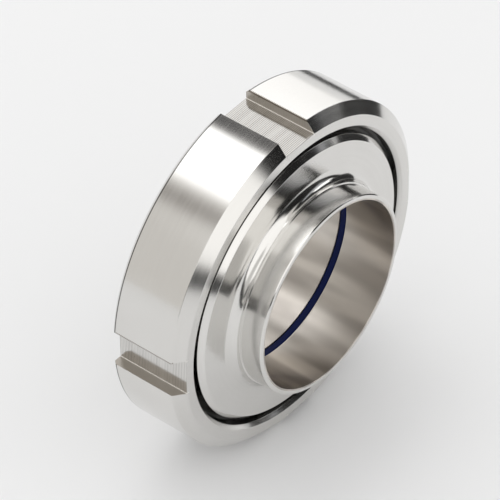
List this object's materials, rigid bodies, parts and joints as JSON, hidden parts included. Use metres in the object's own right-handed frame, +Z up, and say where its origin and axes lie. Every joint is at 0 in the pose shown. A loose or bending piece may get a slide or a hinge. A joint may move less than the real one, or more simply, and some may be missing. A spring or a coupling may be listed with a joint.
{
  "type": "butt weld pipe union",
  "caption": "Hygienic butt weld pipe union: a slotted round nut draws a flat-faced liner onto a threaded male part with a seal ring between them.",
  "frame": {"origin": "centre of the bottom of the part's box, on the surface it lies on, under the union's axis and half way along it", "axes": "the union's axis lies along Y, with the male part's weld end towards -Y and the liner's towards +Y; +Z is up, through the middle of the nut's top slot; +X is to the right when looking along +Y"},
  "size_m": [0.0914, 0.0332, 0.0914],
  "materials": {
    "nut_steel": "turned and satin polished, milled slots",
    "male_steel": "fine turned, polished",
    "liner_steel": "fine turned, polished",
    "seal_rubber": "smooth, dark blue"
  },
  "bodies": {
    "male": {"male_part": "male_steel", "seal_ring": "seal_rubber"},
    "liner": {"liner": "liner_steel"},
    "nut": {"slotted_nut": "nut_steel"}
  },
  "joints": [
    {"name": "liner_slide", "type": "slide", "parent": "male", "child": "liner", "axis": [0, 1, 0], "range_m": [0, 0.00818]},
    {"name": "nut_turn", "type": "hinge", "parent": "liner", "child": "nut", "pos_m": [0, 0, 0.0457], "axis": [0, 1, 0], "range_deg": [0, 690]}
  ],
  "couplings": [
    {"joint": "liner_slide", "follows": "nut_turn", "m_per_rad": 0.00067376}
  ]
}
